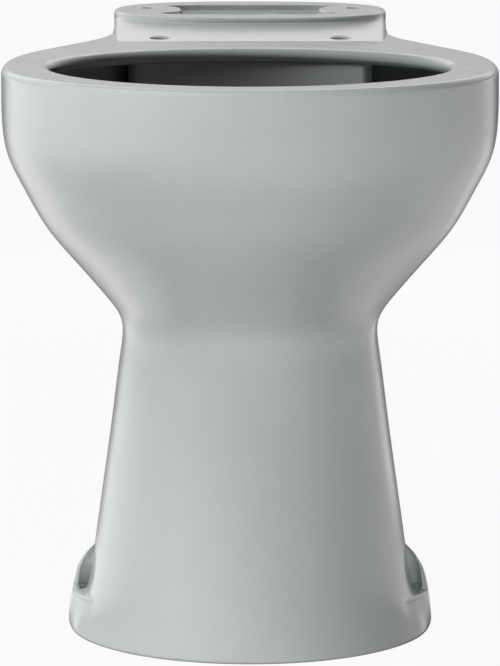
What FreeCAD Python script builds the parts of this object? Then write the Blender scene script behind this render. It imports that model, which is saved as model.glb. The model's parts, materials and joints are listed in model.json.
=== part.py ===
# A floor-standing ceramic toilet bowl for a close-coupled tank, without seat, lid and tank.
# Frame: +Z up, the front of the bowl faces -Y, the origin is on the floor under the middle.
import FreeCAD
import Part
import Sketcher
import math
import os
from collections import namedtuple

doc = FreeCAD.newDocument("toilet_bowl")
sheet = doc.addObject("Spreadsheet::Sheet", "sizes")

# Driving sizes in millimetres and degrees
SIZES = {
    "overall_length": 618,
    "rim_height": 419.5,
    "rim_thickness": 10,
    "rim_half_width": 180.5,
    "rim_nose_length": 180,
    "rim_edge_radius": 5,
    "rim_lip_radius": 6,
    "rim_lip_underside_radius": 2.5,
    "opening_half_width": 146,
    "opening_nose_length": 158,
    "opening_back_reach": 128,
    "opening_offset": 15,
    "waist_height": 219,
    "waist_half_width": 93.9,
    "waist_nose_length": 90,
    "waist_back_reach": 210,
    "foot_half_width": 135.2,
    "foot_nose_length": 141,
    "foot_back_reach": 215,
    "foot_offset": 34,
    "neck_half_width": 109.5,
    "wall": 11,
    "joint_height": 253,
    "joint_gap": 0.2,
    "basin_back_reach": 162,
    "throat_half_width": 70,
    "throat_half_depth": 50,
    "throat_offset": 16,
    "deck_start": 208,
    "deck_length": 64,
    "deck_half_width": 103,
    "deck_rise": 3,
    "seat_hole_spacing": 140,
    "seat_hole_radius": 7.5,
    "seat_hole_setback": 15,
    "platform_half_width": 108.8,
    "platform_half_depth": 83,
    "platform_step": 9.5,
    "platform_edge_radius": 2.5,
    "recess_half_width": 76,
    "recess_half_depth": 52,
    "recess_depth": 5.5,
    "recess_corner_radius": 22,
    "boss_radius": 28,
    "tank_bolt_spacing": 166,
    "tank_bolt_radius": 5.5,
    "tank_bolt_setback": 15,
    "inlet_radius": 29,
    "duct_half_width": 42,
    "duct_height": 26,
    "duct_wall": 7,
    "duct_end_margin": 12,
    "spreader_half_width": 95,
    "spreader_height": 38,
    "spreader_wall": 8,
    "spreader_gap": 4,
    "trap_radius": 40,
    "trap_wall": 9,
    "trap_bend_radius": 58,
    "trap_floor_height": 58,
    "trap_leg": 34,
    "trap_offset": 8,
    "crown_setback": 18,
    "outlet_height": 180,
    "outlet_clearance": 0.3,
    "spigot_radius": 51,
    "spigot_length": 53,
    "spigot_setback": 22,
    "lug_reach": 133,
    "lug_half_width": 24.5,
    "lug_half_length": 55,
    "lug_base_height": 30,
    "lug_dome_height": 33,
    "lug_offset": 10,
    "scoop_radius": 11,
    "scoop_floor": 25.7,
    "fixing_spacing": 248,
    "fixing_hole_radius": 4.5,
}
for row, (alias, value) in enumerate(SIZES.items(), start=1):
    sheet.set(f"A{row}", alias)
    sheet.set(f"B{row}", str(value))
    sheet.setAlias(f"B{row}", alias)
doc.recompute()


def size(alias):
    return float(sheet.get(alias))


# Heights and places that follow from the sizes
half_length = size("overall_length") / 2
far = 2 * half_length
wall = size("wall")
rim_level = size("rim_height")
seat_level = rim_level - size("rim_thickness")
joint_level = size("joint_height")
waist_level = size("waist_height")
deck_level = rim_level + size("deck_rise")
platform_level = deck_level + size("platform_step")
rim_centre = size("rim_nose_length") - half_length
foot_centre = rim_centre + size("foot_offset")
throat_centre = rim_centre + size("throat_offset")
opening_centre = rim_centre + size("opening_offset")
opening_front = opening_centre - size("opening_nose_length")
opening_back = opening_centre + size("opening_back_reach")
fixing_line = foot_centre + size("lug_offset")
platform_centre = half_length - size("platform_half_depth")
tank_bolt_line = platform_centre + size("tank_bolt_setback")
deck_start = rim_centre + size("deck_start")
seat_hole_line = deck_start + size("seat_hole_setback")

# Plan outlines: a round front, straight flanks, a slow S into the neck and an oval back
Outline = namedtuple("Outline", "half front centre flank neck neck_start neck_end back")
OVAL_POWER = 2.45

rim_plan = Outline(
    half=size("rim_half_width"),
    front=-half_length,
    centre=rim_centre,
    flank=rim_centre + 0.23 * size("rim_half_width"),
    neck=size("neck_half_width"),
    neck_start=platform_centre - 0.66 * size("platform_half_depth"),
    neck_end=platform_centre,
    back=half_length,
)


def pedestal_plan(part):
    """The plan of the pedestal at its waist or at its foot."""
    half = size(part + "_half_width")
    reach = size(part + "_back_reach")
    return Outline(
        half=half,
        front=foot_centre - size(part + "_nose_length"),
        centre=foot_centre,
        flank=foot_centre + 0.24 * reach,
        neck=0.85 * half,
        neck_start=foot_centre + 0.62 * reach,
        neck_end=foot_centre + 0.72 * reach,
        back=foot_centre + reach,
    )


waist_plan = pedestal_plan("waist")
foot_plan = pedestal_plan("foot")

# Share of the height from one level to the next, and the share of the spread reached there
FOOT_CURVE = [(1, 1), (0.945, 0.83), (0.86, 0.655), (0.7, 0.495), (0.5, 0.345), (0.29, 0.19), (0.08, 0.045)]
BOWL_CURVE = [(0, 0), (0.07, 0.025), (0.16, 0.153), (0.3, 0.402), (0.44, 0.642), (0.58, 0.811),
              (0.72, 0.952), (0.84, 0.995), (1, 1)]
BASIN_CURVE = [(0, 0), (0.085, 0.23), (0.19, 0.44), (0.355, 0.67), (0.55, 0.86), (0.74, 0.98), (1, 1)]
FUNNEL_CURVE = [(0, 0), (0.25, 0.32), (0.55, 0.7), (0.8, 0.93), (1, 1)]


def between(first, last, share):
    return first + share * (last - first)


def blend(first, last, share):
    """The outline that lies the given share of the way from one outline to another."""
    return Outline(*(between(a, b, share) for a, b in zip(first, last)))


def inset(plan, depth):
    """The same outline moved inward by a wall thickness."""
    return plan._replace(half=plan.half - depth, front=plan.front + depth,
                         neck=plan.neck - depth, back=plan.back - depth)


def oval_quarter(half, reach, count):
    """Points of a quarter oval with slightly squared corners, from its side to its end."""
    points = []
    for step in range(count + 1):
        angle = math.pi / 2 * step / count
        side = max(math.cos(angle), 0) ** (2 / OVAL_POWER)
        along = math.sin(angle) ** (2 / OVAL_POWER)
        points.append((half * side, reach * along))
    return points


def both_sides(right, height):
    """A closed run of points from those of its right side, front middle to back middle."""
    left = [(-x, y) for x, y in reversed(right[1:-1])]
    return [FreeCAD.Vector(x, y, height) for x, y in right + left]


def outline_points(plan, height):
    right = []
    for step in range(6):
        angle = math.pi / 2 * step / 5
        along = (plan.centre - plan.front) * math.cos(angle)
        right.append((plan.half * math.sin(angle), plan.centre - along))
    right.append((plan.half, plan.flank))
    for step in range(1, 6):
        share = step / 5
        swing = (1 + math.cos(math.pi * share)) / 2
        right.append((between(plan.neck, plan.half, swing), between(plan.flank, plan.neck_start, share)))
    for side, along in oval_quarter(plan.neck, plan.back - plan.neck_end, 4):
        right.append((side, plan.neck_end + along))
    return both_sides(right, height)


def oval_points(half, reach, centre, height):
    quarter = oval_quarter(half, reach, 5)
    right = [(x, -y) for x, y in reversed(quarter)] + quarter[1:]
    return both_sides([(x, centre + y) for x, y in right], height)


def chord_lengths(points):
    """Running length along a closed run of points, the pace at which a curve passes them."""
    lengths = [0.0]
    for start, end in zip(points, points[1:] + points[:1]):
        lengths.append(lengths[-1] + start.distanceToPoint(end))
    return lengths


def smooth_wire(points, pace):
    curve = Part.BSplineCurve()
    curve.interpolate(Points=points, PeriodicFlag=True, Parameters=pace)
    return Part.Wire([curve.toShape()])


RIM_PACE = chord_lengths(outline_points(rim_plan, 0))


def outline_wire(plan, height):
    return smooth_wire(outline_points(plan, height), RIM_PACE)


def oval_wire(half, reach, centre, height):
    points = oval_points(half, reach, centre, height)
    return smooth_wire(points, chord_lengths(points))


def egg_wire(half, front, centre, back, height):
    """Two half ellipses of one width, joined at their widest line."""
    count = 16
    points = []
    for step in range(count):
        angle = 2 * math.pi * step / count
        reach = centre - front if math.cos(angle) > 0 else back - centre
        points.append(FreeCAD.Vector(half * math.sin(angle), centre - reach * math.cos(angle), height))
    return smooth_wire(points, [float(step) for step in range(count + 1)])


def slab(wire, thickness):
    return Part.Face(wire).extrude(FreeCAD.Vector(0, 0, thickness))


def block(x_half, y_from, y_to, z_from, z_to):
    corner = FreeCAD.Vector(-x_half, y_from, z_from)
    return Part.makeBox(2 * x_half, y_to - y_from, z_to - z_from, corner)


def post(radius, x, y, z_from, z_to):
    return Part.makeCylinder(radius, z_to - z_from, FreeCAD.Vector(x, y, z_from))


def post_pair(radius, spacing, y, z_from, z_to):
    return post(radius, spacing / 2, y, z_from, z_to).fuse(post(radius, -spacing / 2, y, z_from, z_to))


def level_edges(shape, height, inside=None):
    """Edges that lie wholly at one height, and inside a given box when there is one."""
    found = []
    for edge in shape.Edges:
        box = edge.BoundBox
        level = abs(box.ZMin - height) < 0.01 and abs(box.ZMax - height) < 0.01
        if level and (inside is None or inside.isInside(box)):
            found.append(edge)
    return found


def add_shape(label, shape):
    piece = doc.addObject("Part::Feature", label)
    piece.Label = label
    piece.Shape = shape
    piece.Placement = FreeCAD.Placement()
    return piece


def set_size(item, name, value):
    """Bind a size to the sheet when it is an expression, or set a length worked out above."""
    if isinstance(value, str):
        item.setExpression(name, value)
    else:
        setattr(item, name, value)


# Outer skin of the whole ceramic, and the shell that is left when it is hollowed and the outlet is cut
def skin(depth):
    wires = []
    for drop, share in FOOT_CURVE:
        plan = inset(blend(waist_plan, foot_plan, share), depth)
        wires.append(outline_wire(plan, between(waist_level, 0, drop)))
    for rise, share in BOWL_CURVE:
        plan = inset(blend(waist_plan, rim_plan, share), depth)
        wires.append(outline_wire(plan, between(waist_level, seat_level, rise)))
    return Part.makeLoft(wires, True)


trap_outer = size("trap_radius") + size("trap_wall")
outlet_inside = waist_plan.back - 3 * wall
outlet_way = Part.makeCylinder(trap_outer + size("outlet_clearance"),
                               waist_plan.back + size("spigot_setback") - outlet_inside,
                               FreeCAD.Vector(0, outlet_inside, size("outlet_height")),
                               FreeCAD.Vector(0, 1, 0))
outer_skin = skin(0)
shell = outer_skin.cut(skin(wall)).cut(outlet_way)
lower_space = block(far, -far, far, -1, joint_level)
upper_space = block(far, -far, far, joint_level, seat_level)

# Basin: an egg-shaped cavity that narrows to the throat
basin_half = size("rim_half_width") - 1.1 * wall
basin_front = 1.1 * wall - half_length
basin_back = rim_centre + size("basin_back_reach")


def basin_space(side_wall, back_wall):
    """The cavity, widened by one wall at the sides and front and by another at the back."""
    wires = []
    for rise, share in BASIN_CURVE:
        half = between(size("throat_half_width"), basin_half, share)
        front = between(throat_centre - size("throat_half_depth"), basin_front, share)
        back = between(throat_centre + size("throat_half_depth"), basin_back, share)
        centre = between(throat_centre, rim_centre, share)
        height = between(joint_level, seat_level, rise)
        wires.append(egg_wire(half + side_wall, front - side_wall, centre, back + back_wall, height))
    return Part.makeLoft(wires, True)


past_skin = 0.4 * size("rim_half_width")
duct_floor = seat_level - size("duct_height") - 2 * size("duct_wall")
flush_way = block(size("duct_half_width"), basin_back - 3 * wall, basin_back + 3 * wall,
                  duct_floor + size("duct_wall"), seat_level - size("duct_wall"))
bowl = outer_skin.common(upper_space).common(basin_space(past_skin, wall))
add_shape("bowl", bowl.cut(basin_space(0, 0)).cut(flush_way))
rear_limit = basin_space(past_skin, wall + size("joint_gap"))
add_shape("neck_shell", shell.common(upper_space).cut(rear_limit))

# Pedestal: the lower shell with two fixing lugs and the scoops above their screw holes


def lug(side):
    """An upright oval post with a domed top, cut down to the scoop floor in front of the screw."""
    stretch = FreeCAD.Matrix()
    stretch.scale(size("lug_half_width"), size("lug_half_length"), size("lug_dome_height"))
    dome = Part.makeSphere(1).transformGeometry(stretch)
    dome.translate(FreeCAD.Vector(0, 0, size("lug_base_height")))
    dome = dome.common(block(far, -far, far, size("lug_base_height"), far))
    stretch = FreeCAD.Matrix()
    stretch.scale(size("lug_half_width"), size("lug_half_length"), 1)
    whole = dome.fuse(post(1, 0, 0, 0, size("lug_base_height")).transformGeometry(stretch))
    whole.translate(FreeCAD.Vector(side * (size("lug_reach") - size("lug_half_width")), fixing_line, 0))
    return whole.cut(block(far, -far, fixing_line, size("scoop_floor"), far))


pedestal = shell.common(lower_space).fuse(lug(1)).fuse(lug(-1))
scoops = post_pair(size("scoop_radius"), size("fixing_spacing"), fixing_line, size("scoop_floor"), joint_level)
screw_ways = post_pair(size("fixing_hole_radius"), size("fixing_spacing"), fixing_line, -1, joint_level)
add_shape("pedestal", pedestal.cut(scoops).cut(screw_ways).removeSplitter())

# Rim and deck: one plate with a round outer edge, parted along the straight front edge of the deck
plate = slab(outline_wire(rim_plan, seat_level), size("rim_thickness"))
plate = plate.makeFillet(size("rim_edge_radius"), level_edges(plate, rim_level))
opening = slab(egg_wire(size("opening_half_width"), opening_front, opening_centre, opening_back, seat_level),
               size("rim_thickness"))
opening_box = opening.BoundBox
opening_box.enlarge(0.5)
ring = plate.common(block(far, -far, deck_start, 0, far)).cut(opening)
ring = ring.makeFillet(size("rim_lip_radius"), level_edges(ring, rim_level, opening_box))
ring = ring.makeFillet(size("rim_lip_underside_radius"), level_edges(ring, seat_level, opening_box))
add_shape("rim_ring", ring)

inlet_way = post(size("inlet_radius"), 0, platform_centre, 0, far)
tank_bolt_ways = post_pair(size("tank_bolt_radius"), size("tank_bolt_spacing"), tank_bolt_line, 0, far)
seat_bolt_ways = post_pair(size("seat_hole_radius"), size("seat_hole_spacing"), seat_hole_line, 0, far)
deck_half = size("deck_half_width")
ramp_side = [(deck_start, seat_level), (deck_start, rim_level), (deck_start + size("deck_length"), deck_level),
             (half_length, deck_level), (half_length, seat_level), (deck_start, seat_level)]
ramp_face = Part.Face(Part.makePolygon([FreeCAD.Vector(-deck_half, y, z) for y, z in ramp_side]))
ramp = ramp_face.extrude(FreeCAD.Vector(2 * deck_half, 0, 0))
pad_reach = size("platform_half_depth") - size("platform_half_width") + deck_half
pad_space = slab(oval_wire(deck_half, pad_reach, platform_centre, 0), far)
ramp = ramp.common(pad_space.fuse(block(far, -far, platform_centre, 0, far)))
deck = plate.common(block(far, deck_start, far, 0, far)).fuse(ramp)
add_shape("rear_deck", deck.cut(inlet_way).cut(tank_bolt_ways).cut(seat_bolt_ways))

# Tank platform: an oval pad with a recess between two bosses that hold the tank bolts
platform_wire = oval_wire(size("platform_half_width"), size("platform_half_depth"), platform_centre, deck_level)
platform = slab(platform_wire, size("platform_step"))
platform = platform.makeFillet(size("platform_edge_radius"), level_edges(platform, platform_level))
recess = block(size("recess_half_width"), platform_centre - size("recess_half_depth"),
               platform_centre + size("recess_half_depth"), platform_level - size("recess_depth"), far)
recess_corners = [edge for edge in recess.Edges if edge.BoundBox.ZLength > size("recess_depth")]
recess = recess.makeFillet(size("recess_corner_radius"), recess_corners)
bosses = post_pair(size("boss_radius"), size("tank_bolt_spacing"), tank_bolt_line, 0, far)
add_shape("tank_platform", platform.cut(recess.cut(bosses)).cut(inlet_way).cut(tank_bolt_ways))

# Funnel under the basin, from the egg-shaped throat to the round trap
trap_line = rim_centre + size("trap_offset")
bend_level = size("trap_floor_height") + size("trap_bend_radius")
trap_top = bend_level + size("trap_leg")


def funnel_space(thickness):
    wires = []
    for drop, share in FUNNEL_CURVE:
        half = between(size("throat_half_width"), size("trap_radius"), share) + thickness
        reach = between(size("throat_half_depth"), size("trap_radius"), share) + thickness
        centre = between(throat_centre, trap_line, share)
        height = between(joint_level, trap_top, drop)
        wires.append(egg_wire(half, centre - reach, centre, centre + reach, height))
    return Part.makeLoft(wires, True)


add_shape("sump_funnel", funnel_space(size("trap_wall")).cut(funnel_space(0)))


# Trap: a bend below the funnel, a slanting riser and a crown that ends in the outlet spigot
def new_body(label):
    body = doc.addObject("PartDesign::Body", label)
    body.Label = label
    return body


PIPE_OUTSIDE = "sizes.trap_radius + sizes.trap_wall"


def pipe_section(body, role, offset=None, outside=PIPE_OUTSIDE, along=0):
    """A sketch of the pipe's bore and outside, its centre above the origin by a named size."""
    sketch = body.newObject("Sketcher::SketchObject", body.Label + "_section")
    plane = next(item for item in body.Origin.OriginFeatures if item.Role == role)
    sketch.AttachmentSupport = [(plane, "")]
    sketch.MapMode = "FlatFace"
    sketch.AttachmentOffset = FreeCAD.Placement(FreeCAD.Vector(0, 0, -along), FreeCAD.Rotation())
    centre = FreeCAD.Vector(0, size(offset) if offset else 0, 0)
    upright = FreeCAD.Vector(0, 0, 1)
    inner = sketch.addGeometry(Part.Circle(centre, upright, size("trap_radius")), False)
    outer = sketch.addGeometry(Part.Circle(centre, upright, trap_outer), False)
    rules = [("bore", Sketcher.Constraint("Radius", inner, size("trap_radius")), "sizes.trap_radius"),
             ("outside", Sketcher.Constraint("Radius", outer, trap_outer), outside)]
    sketch.addConstraint(Sketcher.Constraint("Coincident", outer, 3, inner, 3))
    if offset:
        sketch.addConstraint(Sketcher.Constraint("PointOnObject", inner, 3, -2))
        rules.append(("height", Sketcher.Constraint("DistanceY", -1, 1, inner, 3, centre.y), "sizes." + offset))
    else:
        sketch.addConstraint(Sketcher.Constraint("Coincident", inner, 3, -1, 1))
    for name, constraint, expression in rules:
        sketch.renameConstraint(sketch.addConstraint(constraint), name)
        sketch.setExpression("Constraints." + name, expression)
    return sketch


def pipe_pad(body, sketch, length, backward=False):
    pad = body.newObject("PartDesign::Pad", body.Label + "_straight")
    pad.Profile = sketch
    pad.Reversed = backward
    set_size(pad, "Length", length)
    return pad


def pipe_turn(body, sketch, angle, backward=False):
    turn = body.newObject("PartDesign::Revolution", body.Label + "_turn")
    turn.Profile = sketch
    turn.ReferenceAxis = (sketch, ["H_Axis"])
    turn.Reversed = backward
    set_size(turn, "Angle", angle)
    return turn


# The riser runs straight from the bend to the crown and touches both arcs
bend_radius = size("trap_bend_radius")
bend_y = trap_line + bend_radius
crown_y = waist_plan.back - size("crown_setback")
crown_level = size("outlet_height") - bend_radius
span = math.hypot(crown_y - bend_y, crown_level - bend_level)
lean = math.atan2(crown_level - bend_level, crown_y - bend_y) + math.asin(2 * bend_radius / span)
lean_degrees = math.degrees(lean)
riser_length = math.sqrt(span ** 2 - (2 * bend_radius) ** 2)
riser_foot = FreeCAD.Vector(0, bend_y + bend_radius * math.sin(lean), bend_level - bend_radius * math.cos(lean))

trap_bend = new_body("trap_bend")
section = pipe_section(trap_bend, "XY_Plane", "trap_bend_radius")
pipe_pad(trap_bend, section, "sizes.trap_leg")
pipe_turn(trap_bend, section, 90 + lean_degrees, backward=True)
trap_bend.Placement = FreeCAD.Placement(FreeCAD.Vector(0, bend_y, bend_level),
                                        FreeCAD.Rotation(FreeCAD.Vector(0, 0, 1), 180))

trap_riser = new_body("trap_riser")
pipe_pad(trap_riser, pipe_section(trap_riser, "XY_Plane"), riser_length)
trap_riser.Placement = FreeCAD.Placement(riser_foot,
                                         FreeCAD.Rotation(FreeCAD.Vector(1, 0, 0), lean_degrees - 90))

trap_outlet = new_body("trap_outlet")
spigot_start = size("crown_setback") + size("spigot_setback")
section = pipe_section(trap_outlet, "XZ_Plane", "trap_bend_radius")
pipe_pad(trap_outlet, section, "sizes.crown_setback + sizes.spigot_setback", backward=True)
pipe_turn(trap_outlet, section, lean_degrees)
section = pipe_section(trap_outlet, "XZ_Plane", "trap_bend_radius", "sizes.spigot_radius", spigot_start)
pipe_pad(trap_outlet, section, "sizes.spigot_length", backward=True)
trap_outlet.Placement = FreeCAD.Placement(FreeCAD.Vector(0, crown_y, crown_level), FreeCAD.Rotation())


# Flush way: a box duct under the deck and a curved spreader under the back of the rim
def box_object(label, sizes, corner):
    box = doc.addObject("Part::Box", label)
    for side, value in zip(("Length", "Width", "Height"), sizes):
        set_size(box, side, value)
    box.Placement.Base = corner
    return box


def cylinder_object(label, radius, height, base):
    cylinder = doc.addObject("Part::Cylinder", label)
    set_size(cylinder, "Radius", radius)
    set_size(cylinder, "Height", height)
    cylinder.Placement.Base = base
    return cylinder


def boolean(kind, label, base, tool):
    result = doc.addObject("Part::" + kind, label)
    result.Label = label
    result.Base = base
    result.Tool = tool
    return result


duct_back = platform_centre + size("inlet_radius") + size("duct_end_margin")
duct_outside = box_object(
    "duct_outside",
    ("2 * (sizes.duct_half_width + sizes.duct_wall)", duct_back - basin_back,
     "sizes.duct_height + 2 * sizes.duct_wall"),
    FreeCAD.Vector(-size("duct_half_width") - size("duct_wall"), basin_back, duct_floor))
duct_inside = box_object(
    "duct_inside",
    ("2 * sizes.duct_half_width", duct_back - size("duct_wall") - basin_back, "sizes.duct_height"),
    FreeCAD.Vector(-size("duct_half_width"), basin_back, duct_floor + size("duct_wall")))
duct_inlet = cylinder_object("duct_inlet", "sizes.inlet_radius", "2 * sizes.duct_wall",
                             FreeCAD.Vector(0, platform_centre, seat_level - 1.5 * size("duct_wall")))
duct_hollow = boolean("Cut", "duct_hollow", duct_outside, duct_inside)
duct_open = boolean("Cut", "duct_open", duct_hollow, duct_inlet)
boolean("Cut", "flush_duct", duct_open, add_shape("duct_end", rear_limit))

# The spreader stands off the back of the basin by a small gap
spreader_floor = seat_level - size("spreader_height")
spreader_back = -size("spreader_gap")
spreader_front = spreader_back - size("spreader_wall")
spreader_span = block(size("spreader_half_width"), rim_centre, far, spreader_floor, seat_level)
spreader = basin_space(spreader_back, spreader_back).cut(basin_space(spreader_front, spreader_front))
add_shape("flush_spreader", spreader.common(spreader_span))

# Check every piece and write it
PIECES = ("pedestal", "bowl", "neck_shell", "rim_ring", "rear_deck", "tank_platform", "flush_duct",
          "flush_spreader", "sump_funnel", "trap_bend", "trap_riser", "trap_outlet")
doc.recompute()
for item in doc.Objects:
    if "Invalid" in item.State or "Error" in item.State:
        raise RuntimeError(item.Label + " did not compute")
os.makedirs("parts", exist_ok=True)
for label in PIECES:
    piece = doc.getObjectsByLabel(label)[0]
    if piece.Shape.isNull() or not piece.Shape.isValid() or len(piece.Shape.Solids) != 1:
        raise RuntimeError(label + " is not one sound solid")
    piece.Shape.exportStep("parts/" + label + ".step")
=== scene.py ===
import json
import math

import bpy
import numpy as np
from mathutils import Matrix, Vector

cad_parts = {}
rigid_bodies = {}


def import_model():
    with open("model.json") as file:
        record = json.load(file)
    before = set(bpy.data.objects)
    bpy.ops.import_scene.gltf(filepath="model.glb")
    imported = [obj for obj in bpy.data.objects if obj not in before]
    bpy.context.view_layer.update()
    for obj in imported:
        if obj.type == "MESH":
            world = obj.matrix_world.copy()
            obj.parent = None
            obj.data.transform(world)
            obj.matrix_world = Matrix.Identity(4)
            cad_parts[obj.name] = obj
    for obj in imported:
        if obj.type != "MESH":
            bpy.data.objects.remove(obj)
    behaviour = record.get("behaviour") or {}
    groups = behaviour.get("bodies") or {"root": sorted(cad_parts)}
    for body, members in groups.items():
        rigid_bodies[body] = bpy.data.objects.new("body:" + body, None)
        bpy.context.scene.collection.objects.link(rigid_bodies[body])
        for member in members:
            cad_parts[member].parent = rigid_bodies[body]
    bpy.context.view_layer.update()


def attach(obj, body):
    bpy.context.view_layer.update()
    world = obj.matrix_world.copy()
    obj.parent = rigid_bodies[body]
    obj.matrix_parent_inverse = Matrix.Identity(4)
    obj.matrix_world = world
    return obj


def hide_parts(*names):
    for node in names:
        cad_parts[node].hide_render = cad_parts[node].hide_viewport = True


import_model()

# Heights of the castings above the floor, in millimetres, in the frame of the solids
MM = 0.001
RIM_LEVEL = 419.5
SEAT_LEVEL = RIM_LEVEL - 10
WAIST_LEVEL = 219.0
JOINT_LEVEL = 253.0
PLATFORM_LEVEL = RIM_LEVEL + 12.5

# Places from front to back, half widths, and reaches from a centre
RIM_CENTRE, RIM_HALF = -129.0, 180.5
FOOT_CENTRE = -95.0
THROAT_CENTRE = -113.0
OPENING_CENTRE = -114.0
OPENING_HALF, OPENING_FRONT, OPENING_BACK = 146, 158, 128
PLATFORM_CENTRE, PLATFORM_HALF, PLATFORM_REACH = 226.0, 108.8, 83.0
OVAL_POWER = 2.45
DECK_START = 79.0
WALL = 11.0

# Holes: the distance of a pair from the middle, its line from front to back, and the radius
FIXING_SIDE, FIXING_LINE, FIXING_RADIUS = 124.0, -85.0, 4.5
SEAT_HOLE_SIDE, SEAT_HOLE_LINE, SEAT_HOLE_RADIUS = 70.0, 94.0, 7.5
TANK_BOLT_SIDE, TANK_BOLT_LINE, TANK_BOLT_RADIUS = 83.0, 241.0, 5.5
INLET_RADIUS = 29.0


# ---------------------------------------------------------------- curves and outlines

def curve_through(knots, values, where, closed=False):
    """Cubic curve through the values at the knots, read at the places given in where.
    The second slopes solve the usual three-term equations; an open curve has none at its
    ends, and a closed one joins its end to its start."""
    knots, values, where = (np.asarray(a, float) for a in (knots, values, where))
    if closed:
        values = np.concatenate([values, values[:1]])
    count = len(knots)
    deep = (-1,) + (1,) * (values.ndim - 1)
    steps = np.diff(knots)
    slopes = np.diff(values, axis=0) / steps.reshape(deep)
    terms, right = np.zeros((count, count)), np.zeros(values.shape)
    inner = np.arange(1, count - 1)
    terms[inner, inner - 1] = steps[:-1]
    terms[inner, inner] = 2 * (steps[:-1] + steps[1:])
    terms[inner, inner + 1] = steps[1:]
    right[1:-1] = 6 * np.diff(slopes, axis=0)
    terms[0, 0] = terms[-1, -1] = 1
    if closed:
        terms[0, -1] = -1
        terms[-1, [0, 1]] += 2 * steps[0], steps[0]
        terms[-1, [-2, -1]] += steps[-1], 2 * steps[-1] - 1
        right[-1] = 6 * (slopes[0] - slopes[-1])
    bend = np.linalg.solve(terms, right.reshape(count, -1)).reshape(values.shape)
    place = np.clip(np.searchsorted(knots, where, side="right") - 1, 0, count - 2)
    ahead = ((where - knots[place]) / steps[place]).reshape(deep)
    behind = 1 - ahead
    width = steps[place].reshape(deep)
    curl = (behind**3 - behind) * bend[place] + (ahead**3 - ahead) * bend[place + 1]
    return behind * values[place] + ahead * values[place + 1] + curl * width**2 / 6


def ease(value):
    """Smooth step from 0 to 1, level at both ends."""
    value = np.clip(value, 0, 1)
    return value * value * (3 - 2 * value)


def pedestal_plan(half, nose, reach):
    """Numbers of a pedestal outline: half width, front, centre, flank, neck width, neck start and
    end, back. The neck's width is a share of the half width, and the places are shares of the
    reach behind the centre."""
    return np.array([half, FOOT_CENTRE - nose, FOOT_CENTRE, FOOT_CENTRE + 0.24 * reach, 0.85 * half,
                     FOOT_CENTRE + 0.62 * reach, FOOT_CENTRE + 0.72 * reach, FOOT_CENTRE + reach])


RIM_PLAN = np.array([RIM_HALF, -309.0, RIM_CENTRE, RIM_CENTRE + 0.23 * RIM_HALF, 109.5,
                     PLATFORM_CENTRE - 0.66 * PLATFORM_REACH, PLATFORM_CENTRE, 309.0])
WAIST_PLAN = pedestal_plan(half=93.9, nose=90, reach=210)
FOOT_PLAN = pedestal_plan(half=135.2, nose=141, reach=215)
# How the numbers of an outline change when it moves inwards, and which of them is its front
INSET = np.array([-1, 1, 0, 0, -1, 0, 0, -1])
FRONT_ONLY = np.array([0, 1, 0, 0, 0, 0, 0, 0])


def outline_points(plan):
    """Points of a plan outline: half an ellipse in front, a straight flank, a cosine S into the
    neck and a squared oval at the back, mirrored to the left."""
    half, front, centre, flank, neck, neck_start, neck_end, back = plan
    turn = np.linspace(0, np.pi / 2, 6)
    share = np.arange(1, 6) / 5
    quarter = np.linspace(0, np.pi / 2, 5)
    side = np.clip(np.cos(quarter), 0, 1) ** (2 / OVAL_POWER)
    along = np.sin(quarter) ** (2 / OVAL_POWER)
    right = np.concatenate([
        np.stack([half * np.sin(turn), centre - (centre - front) * np.cos(turn)], 1),
        [[half, flank]],
        np.stack([neck + (half - neck) * (1 + np.cos(np.pi * share)) / 2,
                  flank + share * (neck_start - flank)], 1),
        np.stack([neck * side, neck_end + (back - neck_end) * along], 1),
    ])
    return np.concatenate([right, right[-2:0:-1] * [-1, 1]])


def running_length(points):
    """Length along a closed line up to each of its points, and at last all round."""
    steps = np.diff(np.vstack([points, points[:1]]), axis=0)
    return np.concatenate([[0], np.cumsum(np.hypot(*steps.T))])


RIM_PACE = running_length(outline_points(RIM_PLAN))
HALF_PACE = RIM_PACE[-1] / 2

# Drop below the waist or rise above it, and the share of the spread reached there; the pedestal's
# front comes forward more steadily than its flanks spread
FOOT_CURVE = [(1, 1), (0.945, 0.83), (0.86, 0.655), (0.7, 0.495), (0.5, 0.345), (0.29, 0.19),
              (0.08, 0.045)]
FRONT_CURVE = [1, 0.93, 0.825, 0.65, 0.45, 0.235, 0.05]
BOWL_CURVE = [(0, 0), (0.07, 0.025), (0.16, 0.153), (0.3, 0.402), (0.44, 0.642), (0.58, 0.811),
              (0.72, 0.952), (0.84, 0.995), (1, 1)]
BASIN_CURVE = [(0, 0), (0.085, 0.23), (0.19, 0.44), (0.355, 0.67), (0.55, 0.86), (0.74, 0.98),
               (1, 1)]


def outline_at(plan, pace):
    """An outline at the given paces along the rim: a cubic curve by the outline's own length, so
    that it bends evenly where its points lie closer together than the rim's."""
    points = outline_points(plan)
    own_pace = running_length(points)
    return curve_through(own_pace, points, np.interp(pace, RIM_PACE, own_pace), closed=True)


def casting_skin(pace, heights, depth=0.0):
    """Outer skin of pedestal and bowl at every pair of pace and height, or a wall inside it:
    outlines between foot, waist and rim, joined by cubic curves around and upwards."""
    plans = [WAIST_PLAN + (spread + (front - spread) * FRONT_ONLY) * (FOOT_PLAN - WAIST_PLAN)
             for (drop, spread), front in zip(FOOT_CURVE, FRONT_CURVE)]
    plans += [WAIST_PLAN + spread * (RIM_PLAN - WAIST_PLAN) for rise, spread in BOWL_CURVE]
    levels = [(1 - drop) * WAIST_LEVEL for drop, spread in FOOT_CURVE]
    levels += [WAIST_LEVEL + rise * (SEAT_LEVEL - WAIST_LEVEL) for rise, spread in BOWL_CURVE]
    sections = [outline_at(plan + depth * INSET, pace) for plan in plans]
    return curve_through(levels, np.stack(sections), heights)


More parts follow.
